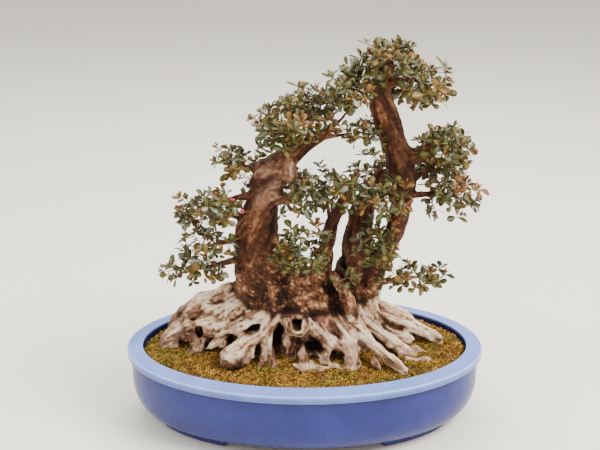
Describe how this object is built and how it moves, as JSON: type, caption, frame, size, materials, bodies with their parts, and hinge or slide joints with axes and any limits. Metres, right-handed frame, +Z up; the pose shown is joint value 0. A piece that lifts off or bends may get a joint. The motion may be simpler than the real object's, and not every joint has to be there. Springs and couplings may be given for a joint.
{
  "type": "bonsai tree in a pot",
  "caption": "Small-leaved evergreen azalea bonsai with several trunks on one spreading root base, planted in a shallow oval glazed pot with moss over the soil.",
  "frame": {"origin": "middle of the pot's footprint, on the surface the pot stands on", "axes": "+Z up, +X along the pot's length to the right of the tree's front, -Y out of the tree's front"},
  "size_m": [0.4, 0.245, 0.4235],
  "materials": {
    "pot_glaze": "gloss",
    "screen_plastic": "matte",
    "wire": "satin",
    "grit": "matte",
    "soil": "matte",
    "moss": "matte",
    "wood": "matte",
    "leaves": "satin"
  },
  "bodies": {
    "root": {"drain_screen_left": "screen_plastic", "drain_screen_right": "screen_plastic", "drainage_grit": "grit", "foliage_apex_back": "leaves", "foliage_apex_left": "leaves", "foliage_apex_right": "leaves", "foliage_apex_top": "leaves", "foliage_base_sprout": "leaves", "foliage_head_back": "leaves", "foliage_head_front": "leaves", "foliage_head_inner": "leaves", "foliage_head_left": "leaves", "foliage_left_back": "leaves", "foliage_left_lower": "leaves", "foliage_left_middle": "leaves", "foliage_left_trailing": "leaves", "foliage_left_upper": "leaves", "foliage_middle_back": "leaves", "foliage_middle_front": "leaves", "foliage_middle_left": "leaves", "foliage_middle_right": "leaves", "foliage_right_back": "leaves", "foliage_right_front": "leaves", "foliage_right_low_front": "leaves", "foliage_right_outer": "leaves", "foliage_right_outer_back": "leaves", "foliage_right_shoulder": "leaves", "foliage_right_trailing": "leaves", "moss": "moss", "pot": "pot_glaze", "screen_clip_left": "wire", "screen_clip_right": "wire", "soil": "soil", "tie_wire": "wire", "tree": "wood"}
  },
  "joints": []
}
